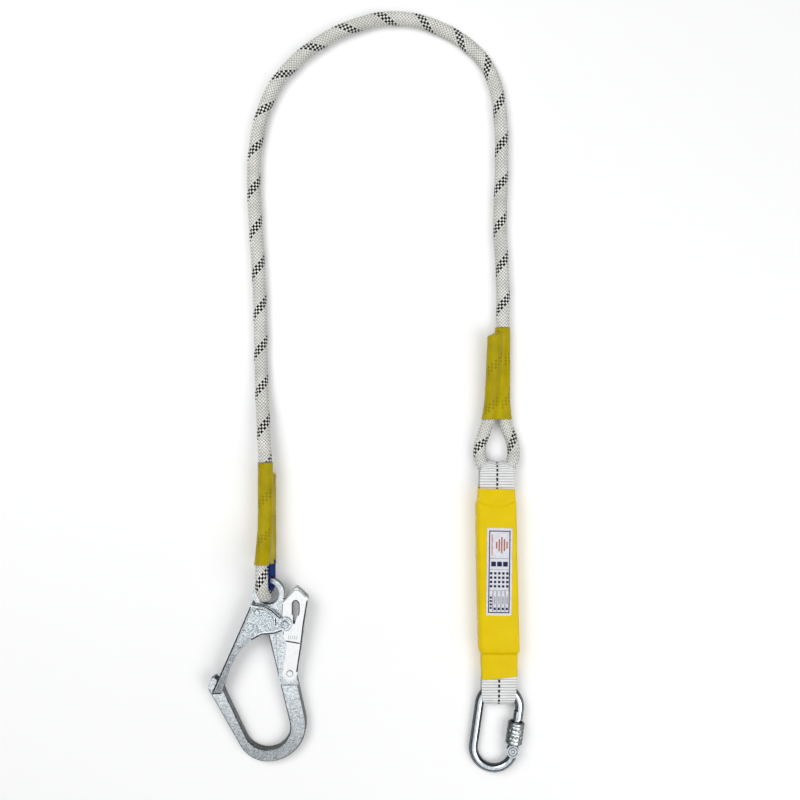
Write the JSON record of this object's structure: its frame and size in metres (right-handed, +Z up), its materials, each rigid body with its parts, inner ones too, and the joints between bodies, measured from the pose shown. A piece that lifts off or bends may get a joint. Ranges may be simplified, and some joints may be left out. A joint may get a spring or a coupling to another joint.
{
  "type": "shock absorbing lanyard",
  "caption": "Rope lanyard with a scaffold hook at one end, and a tear-webbing energy absorber with a screw-lock karabiner at the other, laid out flat.",
  "frame": {"origin": "bottom centre of the box of the lanyard without its free rope, on the surface it lies on", "axes": "+Z up, +Y from the connectors towards the rope's bend, +X from the hook towards the absorber"},
  "size_m": [0.3714, 0.8986, 0.0479],
  "materials": {
    "rope": "matte",
    "sleeve": "satin",
    "thread": "matte",
    "thimble": "satin",
    "cover": "satin",
    "label": "satin",
    "webbing": "matte",
    "bright_steel": "polished",
    "zinc_steel": "satin",
    "spring_steel": "satin"
  },
  "bodies": {
    "rope": {"rope": "rope", "hook_end_eye": "rope", "absorber_end_eye": "rope", "hook_end_sleeve": "sleeve", "absorber_end_sleeve": "sleeve", "hook_end_stitching": "thread", "absorber_end_stitching": "thread", "thimble": "thimble"},
    "absorber": {"absorber_cover": "cover", "label": "label", "tear_webbing": "webbing", "rope_end_web_loop": "webbing", "karabiner_end_web_loop": "webbing", "pack_stitching": "thread"},
    "karabiner": {"karabiner_body": "bright_steel", "karabiner_gate_pin": "bright_steel"},
    "karabiner_gate": {"karabiner_gate": "bright_steel", "karabiner_plunger": "bright_steel", "karabiner_gate_spring": "spring_steel"},
    "screw_sleeve": {"karabiner_sleeve": "bright_steel"},
    "hook": {"hook_body": "zinc_steel", "hook_gate_rivet": "zinc_steel", "lock_lever_rivet": "zinc_steel", "hook_gate_spring": "spring_steel", "lock_lever_spring": "spring_steel"},
    "hook_gate": {"hook_gate": "zinc_steel", "hook_gate_stop_rivet": "zinc_steel"},
    "lock_lever": {"lock_lever": "zinc_steel"}
  },
  "joints": [
    {"name": "absorber_swing", "type": "hinge", "parent": "rope", "child": "absorber", "pos_m": [0.1538, 0.0909, 0.0112], "axis": [-1, 0, 0], "range_deg": [0, 80]},
    {"name": "karabiner_swing", "type": "hinge", "parent": "absorber", "child": "karabiner", "pos_m": [0.16057, -0.16073, 0.00962], "axis": [-1, 0, 0], "range_deg": [0, 75]},
    {"name": "karabiner_gate_swing", "type": "hinge", "parent": "karabiner", "child": "karabiner_gate", "pos_m": [0.17255, -0.23581, 0.01013], "axis": [-0.0927, -0.008, 0.9957], "range_deg": [0, 25], "stiffness_Nm_per_rad": 0.08, "springref_deg": -34.38, "deforming": ["karabiner_plunger", "karabiner_gate_spring"]},
    {"name": "screw_sleeve_travel", "type": "slide", "parent": "karabiner_gate", "child": "screw_sleeve", "axis": [0.1391, 0.9901, 0.0209], "range_m": [0, 0.009]},
    {"name": "hook_swing", "type": "hinge", "parent": "rope", "child": "hook", "pos_m": [-0.1174, -0.0323, 0.0245], "axis": [-0.9397, 0, -0.342], "range_deg": [0, 60]},
    {"name": "hook_gate_swing", "type": "hinge", "parent": "hook", "child": "hook_gate", "pos_m": [-0.0938, -0.08299, 0.02034], "axis": [0, -0.0847, 0.9964], "range_deg": [0, 45], "stiffness_Nm_per_rad": 0.15, "springref_deg": -34.38, "deforming": ["hook_gate_spring"]},
    {"name": "lock_lever_squeeze", "type": "hinge", "parent": "hook", "child": "lock_lever", "pos_m": [-0.0887, -0.14198, 0.01533], "axis": [0, -0.0847, 0.9964], "range_deg": [0, 3.8], "stiffness_Nm_per_rad": 2, "springref_deg": -5.73, "deforming": ["lock_lever_spring"]}
  ]
}
